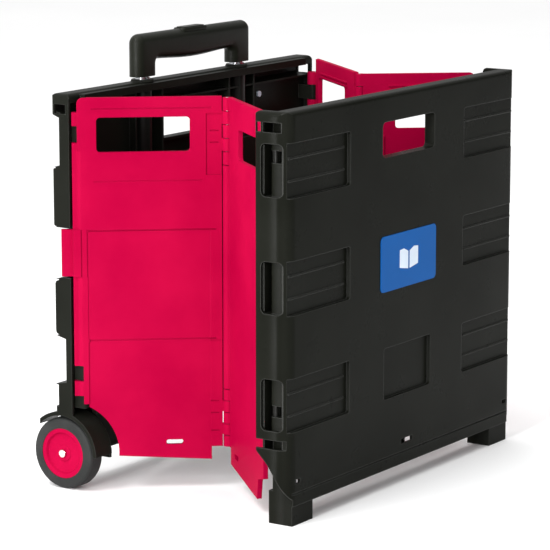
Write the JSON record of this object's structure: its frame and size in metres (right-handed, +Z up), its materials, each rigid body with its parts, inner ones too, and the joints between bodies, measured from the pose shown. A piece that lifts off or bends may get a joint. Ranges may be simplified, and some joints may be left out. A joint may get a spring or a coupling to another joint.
{
  "type": "folding book cart",
  "caption": "Collapsible rolling crate cart: rigid end panels, inward-folding side leaves, drop floor, rear wheels, front feet and a telescoping tube handle.",
  "frame": {"origin": "on the ground, under the middle of the overall box", "axes": "+X to the right seen from the front panel, +Y from the front panel to the wheels, +Z up"},
  "size_m": [0.4542, 0.3134, 0.4564],
  "materials": {
    "black_plastic": "satin moulded black plastic",
    "grip_plastic": "fine-textured black plastic",
    "red_plastic": "satin moulded crimson plastic",
    "tyre_rubber": "hard black rubber",
    "steel": "plated steel",
    "chrome_tube": "bright plated tube",
    "black_metal": "black painted steel",
    "cap_metal": "pressed plated cap",
    "label_blue": "plain blank blue plate",
    "white_plastic": "plain white nylon"
  },
  "bodies": {
    "rear_frame": {"rear_panel": "black_plastic", "rear_hinge_rod_left": "black_metal", "rear_hinge_rod_right": "black_metal", "floor_panel": "black_plastic", "floor_hinge_pins": "steel", "outer_tube_left": "black_metal", "outer_tube_right": "black_metal", "tube_collar_left": "black_plastic", "tube_collar_right": "black_plastic", "tube_socket_left": "black_plastic", "tube_socket_right": "black_plastic", "socket_screws": "steel", "axle_rod": "steel", "axle_cap_left": "cap_metal", "axle_cap_right": "cap_metal", "panel_rivets": "white_plastic"},
    "rear_leaf_left": {"rear_leaf_left": "red_plastic", "mid_hinge_pins_left": "steel"},
    "rear_leaf_right": {"rear_leaf_right": "red_plastic", "mid_hinge_pins_right": "steel"},
    "front_leaf_left": {"front_leaf_left": "red_plastic"},
    "front_leaf_right": {"front_leaf_right": "red_plastic"},
    "front_frame": {"front_panel": "black_plastic", "front_hinge_rod_left": "black_metal", "front_hinge_rod_right": "black_metal", "label_plate": "label_blue"},
    "handle_middle": {"middle_tube_left": "chrome_tube", "middle_tube_right": "chrome_tube"},
    "handle_upper": {"inner_tube_left": "chrome_tube", "inner_tube_right": "chrome_tube", "handle_grip": "grip_plastic", "button_spring": "steel"},
    "handle_release": {"release_button": "grip_plastic", "release_bar": "grip_plastic", "release_rod_left": "steel", "release_rod_right": "steel"},
    "wheel_left": {"tyre_left": "tyre_rubber", "hub_left": "red_plastic"},
    "wheel_right": {"tyre_right": "tyre_rubber", "hub_right": "red_plastic"}
  },
  "joints": [
    {"name": "fold", "type": "hinge", "parent": "rear_frame", "child": "rear_leaf_left", "pos_m": [-0.213, 0.09767, 0.24], "axis": [0, 0, 1], "range_deg": [-39.5, 38.5]},
    {"name": "left_mid_hinge", "type": "hinge", "parent": "rear_leaf_left", "child": "front_leaf_left", "pos_m": [-0.12503, -0.0191, 0.22], "axis": [0, 0, 1], "range_deg": [-79.5, 79.5]},
    {"name": "front_left_hinge", "type": "hinge", "parent": "front_leaf_left", "child": "front_frame", "pos_m": [-0.213, -0.13587, 0.24], "axis": [0, 0, 1], "range_deg": [-40, 40]},
    {"name": "rear_right_hinge", "type": "hinge", "parent": "rear_frame", "child": "rear_leaf_right", "pos_m": [0.213, 0.09767, 0.24], "axis": [0, 0, 1], "range_deg": [-40, 40]},
    {"name": "right_mid_hinge", "type": "hinge", "parent": "rear_leaf_right", "child": "front_leaf_right", "pos_m": [0.12503, -0.0191, 0.22], "axis": [0, 0, 1], "range_deg": [-79.5, 79.5]},
    {"name": "handle_lower_stage", "type": "slide", "parent": "rear_frame", "child": "handle_middle", "axis": [0, 0, 1], "range_m": [0, 0.262]},
    {"name": "handle_upper_stage", "type": "slide", "parent": "handle_middle", "child": "handle_upper", "axis": [0, 0, 1], "range_m": [0, 0.262]},
    {"name": "release_press", "type": "slide", "parent": "handle_upper", "child": "handle_release", "axis": [0, 0, -1], "range_m": [0, 0.003], "stiffness_N_per_m": 700, "springref_m": -0.003, "deforming": ["button_spring"]},
    {"name": "wheel_left_spin", "type": "hinge", "parent": "rear_frame", "child": "wheel_left", "pos_m": [-0.212, 0.11967, 0.037], "axis": [1, 0, 0], "continuous": true},
    {"name": "wheel_right_spin", "type": "hinge", "parent": "rear_frame", "child": "wheel_right", "pos_m": [0.212, 0.11967, 0.037], "axis": [1, 0, 0], "continuous": true}
  ],
  "couplings": [
    {"joint": "left_mid_hinge", "follows": "fold", "ratio": -2},
    {"joint": "front_left_hinge", "follows": "fold", "ratio": 1},
    {"joint": "rear_right_hinge", "follows": "fold", "ratio": -1},
    {"joint": "right_mid_hinge", "follows": "fold", "ratio": 2}
  ]
}
